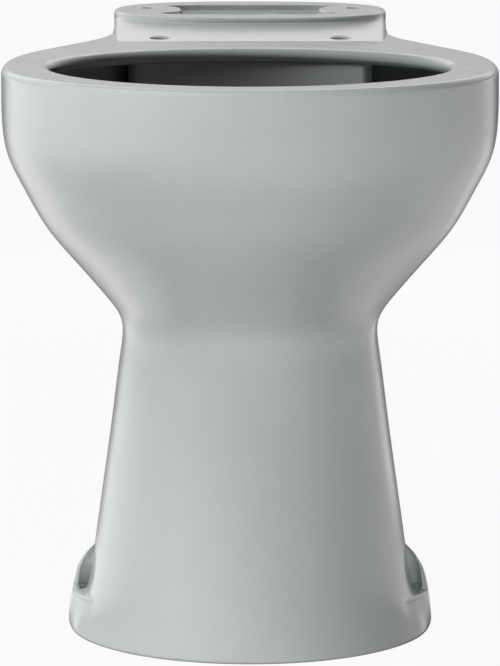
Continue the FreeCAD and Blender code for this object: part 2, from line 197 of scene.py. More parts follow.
def rim_outline(pace, depth=0.0):
    """Plan of the rim, or of the same line moved inwards."""
    return curve_through(RIM_PACE, outline_points(RIM_PLAN + depth * INSET), pace, closed=True)


def egg_outline(half, front, centre, back, toward):
    """Two half ellipses of one width, met by the rays from the centre towards the given points."""
    ray = toward - [0, centre]
    reach = np.where(ray[:, 1] < 0, centre - front, back - centre)
    length = 1 / np.hypot(ray[:, 0] / half, ray[:, 1] / reach)
    return ray * length[:, None] + [0, centre]


def level_rows(plan, heights):
    """Rows of plan points lifted to their heights: one height for each row."""
    plan = np.asarray(plan, float)
    heights = np.broadcast_to(np.asarray(heights, float)[:, None, None], plan.shape[:2] + (1,))
    return np.concatenate([plan, heights], axis=2)


def both_sides(right):
    """A full ring of columns from those of its right half, front middle to back middle."""
    return np.concatenate([right, right[:, -2:0:-1] * [-1, 1, 1]], axis=1)


# ---------------------------------------------------------------- meshes

# Angles in degrees from which an edge is shown sharp, and the sides of a turned cutter
CREASE, DECK_CREASE = 38, 30
CUTTER_SIDES = 48


def smooth_faces(mesh, crease):
    """Smooth shading, with sharp edges where two faces turn by more than the crease in degrees."""
    mesh.polygons.foreach_set("use_smooth", np.ones(len(mesh.polygons), bool))
    mesh.set_sharp_from_angle(angle=math.radians(crease))


def grid_piece(name, surface, glaze, slot, ring=True, tube=True, crease=CREASE, lining=None):
    """Mesh of a grid of points in millimetres. A ring joins the last column to the first; a tube
    joins the last row to the first, and otherwise the first and last rows are closed by flat faces.
    The faces are turned outwards by the sign of the enclosed volume. A lining is the first row of
    the faces that have another glaze, and that glaze."""
    rows, columns = surface.shape[:2]
    index = np.arange(rows * columns).reshape(rows, columns)
    if tube:
        index = np.vstack([index, index[:1]])
    if ring:
        index = np.hstack([index, index[:, :1]])
    corners = index[:-1, :-1], index[:-1, 1:], index[1:, 1:], index[1:, :-1]
    quads = np.stack(corners, -1).reshape(-1, 4)
    points = surface.reshape(-1, 3) * MM
    a, b, c, d = ((points - points.mean(0))[quads[:, k]] for k in range(4))
    volume = np.sum(a * np.cross(b, c)) + np.sum(a * np.cross(c, d))
    faces = quads.tolist()
    if not tube:
        faces += [index[0, :columns][::-1].tolist(), index[-1, :columns].tolist()]
    if volume < 0:
        faces = [face[::-1] for face in faces]
    mesh = bpy.data.meshes.new(name)
    mesh.from_pydata(points.tolist(), [], faces)
    smooth_faces(mesh, crease)
    mesh.materials.append(glaze)
    if lining:
        first_row, lining_glaze = lining
        mesh.materials.append(lining_glaze)
        lined = np.arange(len(faces)) // columns >= first_row
        mesh.polygons.foreach_set("material_index", lined.astype(np.int32))
    mesh.update()
    piece = bpy.data.objects.new(name, mesh)
    bpy.context.scene.collection.objects.link(piece)
    if slot:
        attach(piece, "root")
    return piece


def drill(piece, centre, radius, low, high, lip, crease=CREASE):
    """Bores an upright hole with a rounded mouth, glazed like the piece: a turned cutter whose
    radius grows by the lip on a quarter circle just below the top level."""
    turn = np.linspace(0, 2 * np.pi, CUTTER_SIDES, endpoint=False)
    swell = np.linspace(0, np.pi / 2, 7)
    radii = np.concatenate([[radius], radius + lip * (1 - np.cos(swell)), [radius + 3 * lip]])
    heights = np.concatenate([[low], high - lip + lip * np.sin(swell), [high + lip]])
    surface = np.stack([centre[0] + radii[:, None] * np.cos(turn),
                        centre[1] + radii[:, None] * np.sin(turn),
                        np.broadcast_to(heights[:, None], (len(heights), len(turn)))], -1)
    cutter = grid_piece("cutter", surface, piece.data.materials[0], None, tube=False)
    cut = piece.modifiers.new("hole", "BOOLEAN")
    cut.operation, cut.solver, cut.object = "DIFFERENCE", "EXACT", cutter
    evaluated = piece.evaluated_get(bpy.context.evaluated_depsgraph_get())
    finished = bpy.data.meshes.new_from_object(evaluated)
    piece.modifiers.clear()
    piece.data = finished
    smooth_faces(finished, crease)
    bpy.data.objects.remove(cutter)


# ---------------------------------------------------------------- glazes

class Shade:
    """A socket of a shader tree; sums and products of sockets add Math nodes."""

    def __init__(self, tree, socket=None):
        self.tree, self.socket = tree, socket

    def node(self, kind, settings=(), sockets=(), out=0):
        """Adds a node: its settings first, then the values or links of its sockets."""
        made = self.tree.nodes.new(kind)
        for key, value in dict(settings).items():
            setattr(made, key, value)
        for key, value in dict(sockets).items():
            if isinstance(value, Shade):
                self.tree.links.new(value.socket, made.inputs[key])
            else:
                made.inputs[key].default_value = value
        return Shade(self.tree, made.outputs[out]) if made.outputs else None

    def maths(self, operation, first, second):
        """Adds a Math node on two values or sockets."""
        return self.node("ShaderNodeMath", {"operation": operation}, {0: first, 1: second})

    def __add__(self, other):
        return self.maths("ADD", self, other)

    def __sub__(self, other):
        return self.maths("SUBTRACT", self, other)

    def __mul__(self, other):
        return self.maths("MULTIPLY", self, other)

    def __rsub__(self, other):
        return self.maths("SUBTRACT", other, self)

    __radd__, __rmul__ = __add__, __mul__

    def between(self, low, high):
        """0 below low, 1 above high, straight in between."""
        return self.node("ShaderNodeMapRange", {"clamp": True},
                         {0: self, 1: low, 2: high, 3: 0.0, 4: 1.0})

    def colours(self, first, second):
        """Mixes two colours by this value."""
        return self.node("ShaderNodeMix", {"data_type": "RGBA"}, {0: self, 6: first, 7: second},
                         out=2)


BARE_CLAY = (0.5, 0.49, 0.46, 1)


def glaze_finish(name, pale, deep, roughness, bisque=None):
    """Glazed ceramic: a slow drift between a pale and a deep tint where the glaze lies thinner or
    thicker, a fine mottle, sparse pin specks, a faint orange-peel bump, and unglazed clay below
    the height given as bisque."""
    material = bpy.data.materials.new(name)
    material.use_nodes = True
    tree = material.node_tree
    tree.nodes.clear()
    start = Shade(tree)
    place = start.node("ShaderNodeTexCoord", out=3)

    def cloud(scale, detail, rough=0.5):
        """Noise in the piece's own space."""
        return start.node("ShaderNodeTexNoise", {"noise_dimensions": "3D"},
                          {"Vector": place, "Scale": scale, "Detail": detail, "Roughness": rough})

    drift = cloud(5.5, 2.0).between(0.3, 0.7)
    mottle = cloud(85.0, 3.0, 0.6).between(0.3, 0.75)
    colour = (0.72 * drift + 0.28 * mottle).colours((*pale, 1), (*deep, 1))
    cells = start.node("ShaderNodeTexVoronoi", {"feature": "F1"}, {"Vector": place, "Scale": 75.0})
    speck = cells.between(0.045, 0.03)
    rare = cloud(31.0, 1.0).between(0.6, 0.66)
    fleck = tuple(0.55 * c for c in deep)
    colour = (0.5 * speck * rare).colours(colour, (*fleck, 1))
    gloss = roughness + 0.05 * cloud(26.0, 3.0).between(0.3, 0.7) + 0.03 * mottle
    if bisque:
        height = start.node("ShaderNodeSeparateXYZ", sockets={0: place}, out=2)
        ragged = height + 0.0012 * cloud(140.0, 2.0)
        bare = ragged.between(bisque + 0.0006, bisque)
        colour = bare.colours(colour, BARE_CLAY)
        gloss = gloss + 0.5 * bare
    peel = 0.6 * cloud(160.0, 1.0) + 0.4 * cloud(420.0, 1.0)
    bump = start.node("ShaderNodeBump", sockets={
        "Strength": 0.035, "Distance": 0.0006, "Height": peel})
    shader = start.node("ShaderNodeBsdfPrincipled", sockets={
        "Base Color": colour, "Roughness": gloss, "IOR": 1.5, "Coat Weight": 0.3,
        "Coat Roughness": 0.1, "Normal": bump})
    start.node("ShaderNodeOutputMaterial", sockets={"Surface": shader})
    return material


outer_glaze = glaze_finish("outer_glaze", (0.62, 0.655, 0.64), (0.575, 0.61, 0.595), 0.2,
                           bisque=0.0012)
# The basin glaze is far darker than the pale outside glaze: painted shade for the deep shade inside
# the bowl, not the glaze's own colour
painted_shade_basin_glaze = glaze_finish("painted_shade_basin_glaze", (0.28, 0.295, 0.29), (0.245, 0.26, 0.255), 0.15)
drain_glaze = glaze_finish("drain_glaze", (0.56, 0.58, 0.56), (0.5, 0.52, 0.5), 0.24)


# ---------------------------------------------------------------- pedestal with its screw lugs

# Lines of a lug from front to back: its start and end, the lip's front edge, the pocket's back,
# and where the swell starts to fade and the top starts to come down. Then the pocket's floor, its
# rounding and its width, two heights of the lug, and the radius of the pedestal's bottom edge. The
# holes are cut into this very mesh, and with other starts of a lug such a cut can fail
LUG_FRONT, LUG_BACK = -145.0, -27.0
LIP_FRONT, POCKET_BACK = -93.0, -79.5
SWELL_FADES, TOP_FALLS = -78.0, -88.0
POCKET_FLOOR, POCKET_ROUND, POCKET_WIDE = 25.7, 4.5, 6.0
LUG_MIDDLE, LUG_TOP = 35.0, 64
FOOT_EDGE = 3.0
# By height: how far a lug stands out from the flank, how far its pocket is sunk into the flank,
# how thick the lip round the pocket is, and how far the lip's front edge has run back
LUG_SWELL = [(0, 0.3), (5.3, 3.0), (14.8, 7.3), (24, 9.8), (31.5, 10.7), (37.8, 10.6), (42.4, 9.8),
             (47, 7.9), (51.4, 5.5), (55.6, 2.0), (57.4, 0.5), (59.5, 0), (LUG_TOP, 0)]
POCKET_SINK = [(0, 3.4), (25, 3.2), (34, 2.6), (45, 1.2), (54, 0.2), (58, 0), (LUG_TOP, 0)]
LIP_TAPER = [(0, 4.2), (25, 4.2), (32, 3.8), (40, 2.6), (47, 1.4), (55, 0.5), (LUG_TOP, 0.4)]
LIP_RETREAT = [(0, 0), (31, 0), (40, 2.5), (48, 6.5), (55, 10), (LUG_TOP, 10.4)]
# Columns before and behind a lug, and of each stretch of it from front to back
COLUMNS_BEFORE, COLUMNS_BEHIND = 92, 150
LUG_COLUMNS = {"front": 18, "entry": 7, "pocket": 14, "lip_inside": 5, "lip_end": 10,
               "lip_side": 12, "side": 30}


def pedestal_surface():
    """Right half of the pedestal, mirrored: the casting's skin from foot to joint with a rounded
    bottom edge, and the wall inside it back down. Across a lug the section is a hook: along the
    flank, round a pocket, round a lip, and along the swollen outside back to the flank. The hook
    shrinks to the plain swollen line above the lug's top, and at the pocket's floor, whose rows
    turn from the hook to the plain line with a small radius on either side."""
    fine_pace = np.linspace(0, HALF_PACE, 2001)
    across = casting_skin(fine_pace, [LUG_MIDDLE])[0]

    def pace_at(y):
        """Pace of the right flank's point at a place from front to back, at the lug's mid height."""
        return np.interp(y, across[:, 1], fine_pace)

    run = LUG_COLUMNS
    turn_line = POCKET_BACK - POCKET_WIDE / 2
    entry_line, side_line = LIP_FRONT - 6.0, POCKET_BACK + 3.0
    # Place of each lug column on the plain line, and on the hook where it follows the skin
    lip_lines = [LIP_FRONT - ahead for ahead in (4.0, 3.0, 2.4, 0.4)]
    bounds = [LUG_FRONT, entry_line, *lip_lines, side_line, LUG_BACK]
    plain_y = np.concatenate([np.linspace(a, b, count, endpoint=False)
                              for a, b, count in zip(bounds[:-1], bounds[1:], run.values())])
    hook_y = plain_y.copy()
    edge = np.cumsum([0] + list(run.values()))
    part = {name: slice(a, b) for name, a, b in zip(run, edge[:-1], edge[1:])}

    def along(name):
        """Share of the way along a stretch of the lug, column by column."""
        return np.arange(run[name]) / run[name]

    hook_y[part["entry"]] = entry_line + along("entry") * (turn_line - entry_line)
    hook_y[part["lip_side"]] = LIP_FRONT + along("lip_side") * (side_line - LIP_FRONT)

    before = np.linspace(0, pace_at(LUG_FRONT), COLUMNS_BEFORE, endpoint=False)
    after = np.linspace(pace_at(LUG_BACK), HALF_PACE, COLUMNS_BEHIND)
    lug = slice(len(before), len(before) + edge[-1])
    plain_pace = np.concatenate([before, pace_at(plain_y), after])
    hook_pace = np.concatenate([before, pace_at(hook_y), after])

    # Rows: heights, share of the plain line, and heights inside the lug where floor rows lie level
    turn = np.linspace(0, np.pi / 2, 7)
    foot_rows = np.concatenate([FOOT_EDGE * (1 - np.cos(turn)), [4.5, 6.5, 9, 11.5, 14, 16.5, 19]])
    floor_turn = np.linspace(0, np.pi / 2, 6)
    floor_plain = np.concatenate([(0.84 + 0.16 * np.sin(floor_turn))[::-1], [0.7, 0.55, 0.4, 0.26],
                                  0.13 * (1 - np.sin(floor_turn))])
    floor_level = POCKET_FLOOR + np.concatenate([-2.2 * (1 - np.cos(floor_turn))[::-1], np.zeros(4),
                                                 2.6 * (1 - np.cos(floor_turn))])
    floor_spread = np.linspace(floor_level[0], floor_level[-1], len(floor_level))
    top_rows = np.arange(floor_level[-1] + 1.1, LUG_TOP, 1.1)
    tall_rows = np.concatenate([np.linspace(LUG_TOP, JOINT_LEVEL - 0.4, 56), [JOINT_LEVEL]])
    low_rows = np.concatenate([foot_rows, np.linspace(20.3, floor_level[0] - 0.7, 4)])
    heights = np.concatenate([low_rows, floor_spread, top_rows])
    level = np.concatenate([low_rows, floor_level, top_rows])
    plain_share = np.concatenate([np.ones(len(low_rows)), floor_plain, ease((top_rows - 57) / 4)])

    # How far each column follows the level floor rows: fully from the pocket to the lip's end
    inside = np.zeros(len(plain_pace))
    inside[lug] = np.concatenate([
        np.zeros(run["front"]), ease(along("entry") * 1.6), np.ones(edge[5] - edge[2]),
        ease(1 - along("lip_side")), np.zeros(run["side"])])
    z = heights[:, None] + inside * (level - heights)[:, None]

    def skin_at(pace):
        """The skin at each column's own heights, read from closely spaced rows."""
        step = 0.2
        rows = casting_skin(pace, np.arange(0, LUG_TOP + 2, step))
        row = np.clip((z / step).astype(int), 0, len(rows) - 2)
        share = (z / step - row)[..., None]
        column = np.arange(len(pace))
        return rows[row, column] * (1 - share) + rows[row + 1, column] * share

    plain, hook = skin_at(plain_pace), skin_at(hook_pace)
    level_z = z[:, lug]

    def bulge(y):
        """Share of the swell along the lug: up to its crest and slowly back to nothing."""
        rise = ease((y - LUG_FRONT) / (LIP_FRONT - 2 - LUG_FRONT))
        return rise * (1 - ease((y - SWELL_FADES) / (LUG_BACK - SWELL_FADES)))

    def by_height(table, height):
        """A table of values by height, read by a cubic curve at a whole grid of heights."""
        return curve_through(*zip(*table), height.ravel()).reshape(height.shape)

    def swell_at(y):
        """How far the lug stands out at each row and column; its top comes down behind the crest."""
        lifted = np.minimum(level_z + 0.3 * np.maximum(y - TOP_FALLS, 0), LUG_TOP)
        here, behind = by_height(LUG_SWELL, level_z), by_height(LUG_SWELL, lifted)
        return np.maximum(np.minimum(here, behind), 0)

    plain_line = plain.copy()
    plain_line[:, lug, 0] += swell_at(plain_y) * bulge(plain_y)
    hook_line = hook.copy()
    hooked = hook_line[:, lug]
    flank = hooked[:, part["lip_side"].start, 0][:, None]
    swell = swell_at(hook_y)
    sink = np.maximum(by_height(POCKET_SINK, level_z), 0)
    lip = np.minimum(np.interp(level_z, *zip(*LIP_TAPER)), 0.38 * swell)
    front = LIP_FRONT + np.interp(level_z, *zip(*LIP_RETREAT))
    # The back wall leans forward above the pocket's floor, up to the lip's front edge
    lean = 0.32 * np.maximum(level_z - POCKET_FLOOR - 3, 0)
    back_line = np.maximum(turn_line - lean, front + 0.5)
    outer, inner = flank + swell, flank - sink
    wide = np.maximum(outer - lip - inner, 0.05)
    # Round bottom of the pocket: both sides come in above the floor
    below = np.clip((POCKET_FLOOR + POCKET_ROUND - 0.3 - level_z) / POCKET_ROUND, 0, 0.9)
    come_in = (1 - np.sqrt(1 - below**2)) * wide / 2
    inner, lip, wide = inner + come_in, lip + come_in, wide - 2 * come_in

    def rows_of(name, values):
        """The columns of one stretch of the lug."""
        return values[:, part[name]]

    enter = ease(along("entry") * 1.25)
    hooked[:, part["entry"], 0] += (
        rows_of("entry", inner) - rows_of("entry", hooked[..., 0])) * enter
    hooked[:, part["entry"], 1] = (
        entry_line + along("entry") * (rows_of("entry", back_line) - entry_line))
    bend = np.pi * along("pocket")
    deep = np.minimum(POCKET_WIDE, rows_of("pocket", wide)) / 2
    hooked[:, part["pocket"], 0] = (
        rows_of("pocket", inner) + rows_of("pocket", wide) / 2 * (1 - np.cos(bend)))
    hooked[:, part["pocket"], 1] = rows_of("pocket", back_line) + deep * np.sin(bend)
    hooked[:, part["lip_inside"], 0] = rows_of("lip_inside", inner + wide)
    hooked[:, part["lip_inside"], 1] = (
        rows_of("lip_inside", back_line)
        + along("lip_inside") * rows_of("lip_inside", front - back_line))
    bend = np.pi * along("lip_end")
    round_lip = rows_of("lip_end", lip) / 2
    hooked[:, part["lip_end"], 0] = rows_of("lip_end", outer) - round_lip - round_lip * np.cos(bend)
    hooked[:, part["lip_end"], 1] = rows_of("lip_end", front) - round_lip * np.sin(bend)
    hooked[:, part["lip_side"], 0] += rows_of("lip_side", swell)
    start = rows_of("lip_side", front)
    hooked[:, part["lip_side"], 1] = start + along("lip_side") * (side_line - start)
    hooked[:, part["side"], 0] += rows_of("side", swell) * bulge(hook_y[part["side"]])
    share = plain_share[:, None, None]
    lug_rows = hook_line * (1 - share) + plain_line * share

    # Rounded bottom edge: the first rows move towards the wall inside by the edge's quarter circle
    wall_inside = casting_skin(plain_pace, [0.0], WALL)[0]
    edge_rows = len(turn)
    draw_in = (FOOT_EDGE * (1 - np.sin(turn)) / WALL)[:, None, None]
    lug_rows[:edge_rows] += (wall_inside - lug_rows[:edge_rows]) * draw_in
    outside = np.concatenate([np.concatenate([lug_rows, z[..., None]], 2),
                              level_rows(casting_skin(plain_pace, tall_rows), tall_rows)])
    inner_heights = np.concatenate([np.linspace(JOINT_LEVEL, 60, 14), [40, 25, 12, 0]])
    back_down = level_rows(casting_skin(plain_pace, inner_heights, WALL), inner_heights)
    return both_sides(np.concatenate([outside, back_down]))


pedestal = grid_piece("pedestal_casting", pedestal_surface(), outer_glaze, "outer_glaze")
for side in (-1, 1):
    drill(pedestal, (side * FIXING_SIDE, FIXING_LINE), FIXING_RADIUS,
          low=-5, high=POCKET_FLOOR + 0.6, lip=0.8)
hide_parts("pedestal")


# ---------------------------------------------------------------- bowl, rim, deck and platform

ring_pace = np.linspace(0, HALF_PACE, 261)
BOWL_OUTSIDE_ROWS = 64


def basin_rows(heights, toward):
    """Basin wall: eggs between the throat and the wide top, by a curve of share against rise."""
    rise = (heights - JOINT_LEVEL) / (SEAT_LEVEL - JOINT_LEVEL)
    share = curve_through(*zip(*BASIN_CURVE), rise)
    throat = np.array([70, THROAT_CENTRE - 50, THROAT_CENTRE, THROAT_CENTRE + 50])
    wide_top = np.array([168.4, -296.9, RIM_CENTRE, 33.0])
    return np.stack([egg_outline(*(throat + s * (wide_top - throat)), toward) for s in share])


def bowl_surface():
    """Bowl and neck: the casting's skin from the joint up to the rim, the seat of the rim inwards,
    and the basin wall down to the throat."""
    up = np.linspace(JOINT_LEVEL + 0.4, SEAT_LEVEL - 0.4, BOWL_OUTSIDE_ROWS - 2)
    up = np.concatenate([[JOINT_LEVEL], up, [SEAT_LEVEL]])
    down = np.linspace(SEAT_LEVEL, JOINT_LEVEL, 50)
    toward = rim_outline(ring_pace)
    return both_sides(np.concatenate([level_rows(casting_skin(ring_pace, up), up),
                                      level_rows(basin_rows(down, toward), down)]))


def rim_surface():
    """Rim: straight up from the bowl, a rounded outer edge, a flat top to the opening's egg, a
    large radius at the lip's top and a small one below, and the flat underside back outwards."""
    outline = rim_outline(ring_pace)

    def opening(out):
        """Egg of the opening, or of a line outside it."""
        return egg_outline(OPENING_HALF + out, OPENING_CENTRE - OPENING_FRONT - out, OPENING_CENTRE,
                           OPENING_CENTRE + OPENING_BACK + out, outline)

    turn = np.linspace(0, np.pi / 2, 10)
    edge, lip, under = 5.0, 5.4, 4.4
    plan = [outline, outline, *(rim_outline(ring_pace, edge * (1 - c)) for c in np.cos(turn))]
    heights = [SEAT_LEVEL, SEAT_LEVEL + 0.4, *(RIM_LEVEL - edge + edge * np.sin(turn))]
    outer, inner = rim_outline(ring_pace, edge), opening(lip)
    shares = np.array([0.02, 0.06, 0.15, 0.35, 0.6, 0.82, 0.93, 0.98])
    plan += [outer + s * (inner - outer) for s in shares]
    heights += [RIM_LEVEL] * len(shares)
    plan += [opening(lip * (1 - s)) for s in np.sin(turn)]
    heights += list(RIM_LEVEL - lip * (1 - np.cos(turn)))
    plan += [opening(under * (1 - c)) for c in np.cos(turn)]
    heights += list(SEAT_LEVEL + under - under * np.sin(turn))
    inner = opening(under)
    plan += [inner + s * (outline - inner) for s in (0.02, 0.3, 0.7, 0.98)]
    heights += [SEAT_LEVEL] * 4
    return both_sides(level_rows(plan, heights))


def platform_front(x):
    """Front line of the platform's squared oval at a distance from the middle."""
    reach = np.clip(1 - (np.abs(x) / PLATFORM_HALF) ** OVAL_POWER, 1e-6, 1)
    return PLATFORM_CENTRE - PLATFORM_REACH * reach ** (1 / OVAL_POWER)


# Rise of the deck against the share of the way from the crease to the platform's front
DECK_RISE = [(0, 0), (0.2, 1.18), (0.4, 2.38), (0.56, 3.42), (0.72, 4.65), (0.83, 5.7), (0.92, 6.9),
             (0.97, 7.8), (1, 8.6)]


def deck_surface():
    """Deck: a ramp that steepens from the crease towards the platform and runs up its front wall in
    a hollow radius; it widens a little to the back. Each row is one closed section across it."""
    half, side_radius, full_drop, widening = 105.0, 4.0, 9.0, 0.033
    turn = np.linspace(0, np.pi / 2, 6)
    flat = np.linspace(-1, 1, 161) * (half - side_radius)
    x = np.concatenate([[-half], -(half - side_radius) - side_radius * np.cos(turn[:-1]), flat,
                        (half - side_radius) + side_radius * np.sin(turn[1:]), [half]])
    drop = np.concatenate([[full_drop], side_radius * (1 - np.sin(turn[:-1])), np.zeros(len(flat)),
                           side_radius * (1 - np.cos(turn[1:])), [full_drop]])
    underside = np.linspace(half, -half, 24)[1:-1]
    x = np.concatenate([x, underside])
    drop = np.concatenate([drop, np.full(len(underside), full_drop)])
    steady, closing = np.linspace(0, 0.86, 26), np.sin(np.linspace(0, np.pi / 2, 26)[1:])
    share = np.concatenate([steady, 0.86 + 0.14 * closing])[:, None]
    x = x * (1 + widening * share)
    y = DECK_START + share * (platform_front(x) + 0.1 - DECK_START)
    z = RIM_LEVEL + 0.02 + curve_through(*zip(*DECK_RISE), share.ravel())[:, None]
    floor = RIM_LEVEL - 7.0
    z = np.where(drop >= full_drop, floor, np.maximum(z - drop, floor))
    return np.stack([x, y, z], -1)


def platform_surface():
    """Tank platform on a polar grid: up the inlet's bore, out over the recess floor, up the recess
    wall, over the top and the rounded edge of the squared oval, down its wall and back below. The
    recess ends at the nearer of a rounded rectangle and an oval boss along each ray, with a smooth
    change from one to the other."""
    turn_round = np.linspace(0, 2 * np.pi, 720, endpoint=False)
    cosine, sine = np.cos(turn_round), np.sin(turn_round)

    def oval(half, reach, power):
        """Length of each ray up to a squared oval."""
        return ((np.abs(cosine) / half) ** power + (np.abs(sine) / reach) ** power) ** (-1 / power)

    outer = oval(PLATFORM_HALF, PLATFORM_REACH, OVAL_POWER)
    pocket = oval(76.0, 47.0, 4.2)
    # Each boss is an oval round a tank-bolt hole; where a ray first meets it, if it does
    side, ahead, boss, long_boss = TANK_BOLT_SIDE, 3.0, 28.0, 40.0
    square = (cosine / boss) ** 2 + (sine / long_boss) ** 2
    line = np.abs(cosine) * side / boss**2 + sine * ahead / long_boss**2
    rest = (side / boss) ** 2 + (ahead / long_boss) ** 2 - 1
    under_root = line**2 - square * rest
    meets = (under_root > 0) & (line > 0)
    never = 300.0
    nearer = np.where(meets, (line - np.sqrt(np.maximum(under_root, 0))) / square, never)
    blend = 3.0
    pocket = -blend * np.log(np.exp(-pocket / blend) + np.exp(-nearer / blend))
    bore, floor, top = INLET_RADIUS, PLATFORM_LEVEL - 5.5, PLATFORM_LEVEL
    underside = RIM_LEVEL - 9.5
    turn = np.linspace(0, np.pi / 2, 7)
    inlet_lip, foot_fillet, crest, edge = 1.6, 2.0, 1.4, 2.5
    level = np.ones(len(turn_round))
    radii = [level * bore] + [level * (bore + inlet_lip * (1 - c)) for c in np.cos(turn)]
    heights = [RIM_LEVEL - 14, *(floor - inlet_lip + inlet_lip * np.sin(turn))]
    start, end = bore + inlet_lip, pocket - foot_fillet - 0.6
    radii += [start + s * (end - start) for s in (0.1, 0.3, 0.55, 0.8, 0.95)]
    heights += [floor] * 5
    radii += [end + foot_fillet * s for s in np.sin(turn)]
    heights += list(floor + foot_fillet * (1 - np.cos(turn)))
    radii += [pocket + crest * (1 - c) for c in np.cos(turn)]
    heights += list(top - crest + crest * np.sin(turn))
    start, end = pocket + crest, outer - edge
    radii += [start + s * (end - start) for s in (0.04, 0.15, 0.4, 0.7, 0.9, 0.97)]
    heights += [top] * 6
    radii += [end + edge * s for s in np.sin(turn)]
    heights += list(top - edge * (1 - np.cos(turn)))
    radii += [outer, outer]
    heights += [top - edge - 0.5, underside]
    radii += [outer * 0.98, (outer + bore) / 2]
    heights += [underside, underside]
    radii, heights = np.stack(radii), np.array(heights)
    return np.stack([radii * cosine, PLATFORM_CENTRE + radii * sine,
                     np.broadcast_to(heights[:, None], radii.shape)], -1)


def spreader_surface():
    """Flush spreader: a bar bent along the back of the opening, with round ends and a rounded lower
    edge; each row is its closed plan at one height."""
    thick, span, low_edge, tall, set_back = 11.0, 92.0, 3.0, 38.0, 2.5
    x = np.linspace(-1, 1, 121) * (span - thick / 2)
    half, reach = OPENING_HALF + set_back + thick / 2, OPENING_BACK + set_back + thick / 2
    ahead = np.sqrt(1 - (x / half) ** 2)
    middle = np.stack([x, OPENING_CENTRE + reach * ahead], 1)
    out = np.stack([x / half**2, ahead / reach], 1)
    out /= np.hypot(*out.T)[:, None]
    turn = np.linspace(0, np.pi, 17)[1:-1, None]
    along = out[-1] @ [[0, -1], [1, 0]]
    right_end = -out[-1] * np.cos(turn) + along * np.sin(turn)
    left_end = right_end[::-1] * [-1, 1]
    centres = np.concatenate([middle, np.repeat(middle[-1:], len(turn), 0),
                              middle[::-1], np.repeat(middle[:1], len(turn), 0)])
    ways = np.concatenate([-out, right_end, out[::-1], left_end])
    bend = np.linspace(0, np.pi / 2, 7)
    low = SEAT_LEVEL - tall
    upright = np.linspace(SEAT_LEVEL, low + low_edge + 0.5, 9)
    thin = np.concatenate([np.zeros(len(upright)), low_edge * (1 - np.cos(bend))])
    heights = np.concatenate([upright, low + low_edge * (1 - np.sin(bend))])
    return level_rows([centres + ways * (thick / 2 - t) for t in thin], heights)


# Below the rim the basin wall takes the darkened basin glaze: painted shade inside the bowl
bowl = grid_piece("bowl_casting", bowl_surface(), outer_glaze, "outer_glaze",
                  lining=(BOWL_OUTSIDE_ROWS, painted_shade_basin_glaze))
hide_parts("bowl", "neck_shell")
rim = grid_piece("rim_casting", rim_surface(), outer_glaze, "outer_glaze")
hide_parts("rim_ring")
deck = grid_piece("deck_casting", deck_surface(), outer_glaze, "outer_glaze", tube=False,
                  crease=DECK_CREASE)
below_rim, above_rim = SEAT_LEVEL - 20, RIM_LEVEL + 5
for side in (-1, 1):
    seat_hole = side * SEAT_HOLE_SIDE, SEAT_HOLE_LINE
    drill(rim, seat_hole, SEAT_HOLE_RADIUS, low=below_rim, high=above_rim, lip=0.5)
    drill(deck, seat_hole, SEAT_HOLE_RADIUS, low=below_rim, high=RIM_LEVEL + 1.3, lip=2.2,
          crease=DECK_CREASE)
inlet = 0.0, PLATFORM_CENTRE
drill(rim, inlet, INLET_RADIUS, low=below_rim, high=above_rim, lip=0.5)
drill(bowl, inlet, INLET_RADIUS, low=SEAT_LEVEL - 31, high=above_rim, lip=0.5)
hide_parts("rear_deck")
platform = grid_piece("tank_platform_casting", platform_surface(), outer_glaze, "outer_glaze")
for side in (-1, 1):
    drill(platform, (side * TANK_BOLT_SIDE, TANK_BOLT_LINE), TANK_BOLT_RADIUS,
          low=RIM_LEVEL - 20, high=PLATFORM_LEVEL, lip=0.8)
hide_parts("tank_platform")

spreader = grid_piece("spreader_casting", spreader_surface(), outer_glaze, "inner_glaze",
                      tube=False)
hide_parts("flush_spreader")

# The pieces that stay as solids get their glaze; the duct and the funnel inside the bowl take the
# darkened basin glaze, painted shade
for solids, glaze in ((("flush_duct", "sump_funnel"), painted_shade_basin_glaze),
                      (("trap_bend", "trap_riser", "trap_outlet"), drain_glaze)):
    for piece in bpy.data.objects:
        if piece.type == "MESH" and piece.name.split(".")[0] in solids:
            for place in piece.material_slots:
                place.material = glaze


# ---------------------------------------------------------------- studio

WHITE = (1, 1, 1, 1)
FLOOR_HALF = 12


def glow(compass, turn, power):
    """Light about a level bearing from the front, falling off as a power of the cosine to it."""
    side, ahead = math.sin(math.radians(turn)), -math.cos(math.radians(turn))
    east, north = (compass.node("ShaderNodeSeparateXYZ", sockets={0: compass}, out=axis)
                   for axis in ("X", "Y"))
    return compass.maths("POWER", compass.maths("MAXIMUM", side * east + ahead * north, 0.0), power)


def ray_kinds(start):
    """Two sockets: 1 for what the camera sees itself, and 1 for what the glaze mirrors."""
    return [start.node("ShaderNodeLightPath", out="Is %s Ray" % kind)
            for kind in ("Camera", "Glossy")]


def panels(compass, behind):
    """White panels that stand round the object and show in its glaze; two more, of the strength
    given as behind, stand behind its sides."""
    sides = (1.05 * glow(compass, -122, 18.0) + 0.65 * glow(compass, -90, 10.0)
             + 0.58 * glow(compass, 122, 18.0) + 0.55 * glow(compass, 92, 10.0))
    return sides + behind * (0.95 * glow(compass, -141, 50.0) + 1.25 * glow(compass, 143, 55.0))


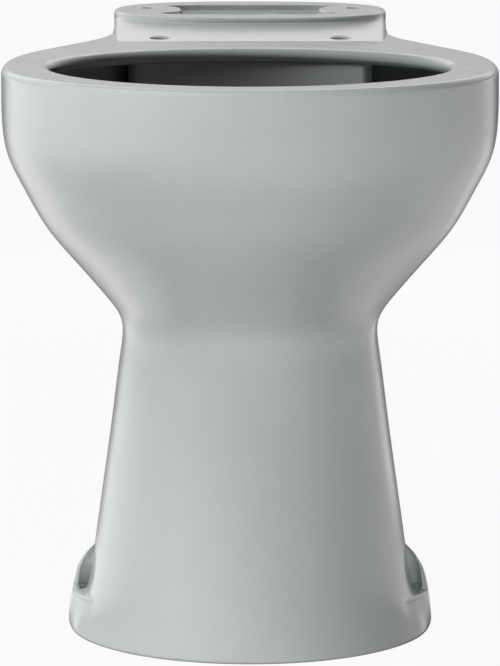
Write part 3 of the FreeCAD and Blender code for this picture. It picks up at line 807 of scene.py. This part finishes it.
def studio_paper():
    """Matt paper that the camera sees as nearly white. For the glaze alone the paper glows with the
    panels, a painted reflection of them in the floor; the two behind fade out towards the object.
    """
    material = bpy.data.materials.new("studio_paper")
    material.use_nodes = True
    material.node_tree.nodes.clear()
    start = Shade(material.node_tree)
    seen, mirrored = ray_kinds(start)
    place = start.node("ShaderNodeTexCoord", out="Object")
    compass = start.node("ShaderNodeVectorMath", {"operation": "NORMALIZE"}, {0: place})
    matt = start.node("ShaderNodeBsdfDiffuse", sockets={"Color": (0.26, 0.26, 0.26, 1)})
    dark, white, bright = (
        start.node("ShaderNodeEmission", sockets={"Color": WHITE, "Strength": strength})
        for strength in (0.0, 1.0, 2.0))
    away = start.node("ShaderNodeVectorMath", {"operation": "LENGTH"}, {0: place}, out="Value")
    # Painted reflection: the paper glows for glossy rays with the panels, those behind fading out
    # near the object
    shown = 0.62 * mirrored * panels(compass, 0.6 * away.between(0.35, 0.9))
    mirror = start.node("ShaderNodeMixShader", sockets={0: shown, 1: dark, 2: bright})
    paper = start.node("ShaderNodeAddShader", sockets={0: matt, 1: mirror})
    paper = start.node("ShaderNodeMixShader", sockets={0: 0.95 * seen, 1: paper, 2: white})
    start.node("ShaderNodeOutputMaterial", sockets={"Surface": paper})
    return material


def studio_floor():
    """Flat floor, a plain square far wider than the object."""
    mesh = bpy.data.meshes.new("studio_floor")
    corners = [(FLOOR_HALF * x, FLOOR_HALF * y, 0) for x, y in ((-1, -1), (1, -1), (1, 1), (-1, 1))]
    mesh.from_pydata(corners, [], [(0, 1, 2, 3)])
    mesh.materials.append(studio_paper())
    floor = bpy.data.objects.new("studio_floor", mesh)
    bpy.context.scene.collection.objects.link(floor)


def studio_lamp(name, turn, lift, far, aim, wide, tall, watts):
    """Soft lamp at a bearing from the front and a lift above level, both in degrees, and at a
    distance from the point it is aimed at, which lies at a height on the axis."""
    data = bpy.data.lights.new(name, "AREA")
    data.shape, data.size, data.size_y, data.energy = "RECTANGLE", wide, tall, watts
    lamp = bpy.data.objects.new(name, data)
    turn, lift = math.radians(turn), math.radians(lift)
    way = Vector((math.sin(turn) * math.cos(lift), -math.cos(turn) * math.cos(lift),
                  math.sin(lift)))
    lamp.location = Vector((0, 0, aim)) + far * way
    lamp.rotation_euler = (-way).to_track_quat("-Z", "Y").to_euler()
    lamp.visible_glossy = lamp.visible_camera = False
    bpy.context.scene.collection.objects.link(lamp)


# Two keys high on the left, and low panels at the height of the bowl, by bearing and watts
studio_floor()
for name, turn, lift, watts in (("high_key", -70, 62, 18), ("side_key", -90, 42, 17)):
    studio_lamp(name, turn, lift, far=2.4, aim=0.3, wide=0.6, tall=0.6, watts=watts)
LOW_PANELS = [(-50, 9.8), (-20, 5.8), (10, 8.4), (40, 4.4), (110, 0.5), (140, 4.0), (180, 5.0)]
for turn, watts in LOW_PANELS:
    studio_lamp("low_panel_%d" % turn, turn, lift=0, far=2.0, aim=0.31, wide=0.9, tall=0.2,
                watts=watts)

# World: plain white for the camera. The glaze sees the panels, a bright backdrop above the horizon
# and a faint ceiling
world = bpy.data.worlds.new("studio")
bpy.context.scene.world = world
world.use_nodes = True
world.node_tree.nodes.clear()
sky = Shade(world.node_tree)
seen, mirrored = ray_kinds(sky)
compass = sky.node("ShaderNodeTexCoord", out="Generated")
height = sky.node("ShaderNodeSeparateXYZ", sockets={0: compass}, out="Z")
backdrop = (0.45 + 0.9 * height.between(0.13, 0.19) + 0.4 * height.between(0.3, 0.42)
            - 1.75 * height.between(0.55, 0.7))
around = panels(compass, 1.0) * (1 - height.between(0.03, 0.13))
ceiling = 0.3 * height.between(0.5, 0.8)
strength = seen + mirrored * (glow(compass, 180, 1.5) * backdrop + around + ceiling)
shine = sky.node("ShaderNodeBackground", sockets={"Color": WHITE, "Strength": strength})
sky.node("ShaderNodeOutputWorld", sockets={"Surface": shine})

# Camera of the photo: its focal length and the picture's height in pixels, and its tilt in degrees
FOCAL, PICTURE_TALL, TILT, SENSOR = 4495, 666, 8.785, 36
camera_data = bpy.data.cameras.new("camera")
camera_data.sensor_width = SENSOR
camera_data.lens = FOCAL / PICTURE_TALL * SENSOR
camera = bpy.data.objects.new("camera", camera_data)
camera.location = (0, -3.379, 0.7263)
camera.rotation_euler = (math.radians(90 - TILT), 0, 0)
bpy.context.scene.collection.objects.link(camera)
bpy.context.scene.camera = camera
bpy.context.scene.view_settings.view_transform = "Standard"
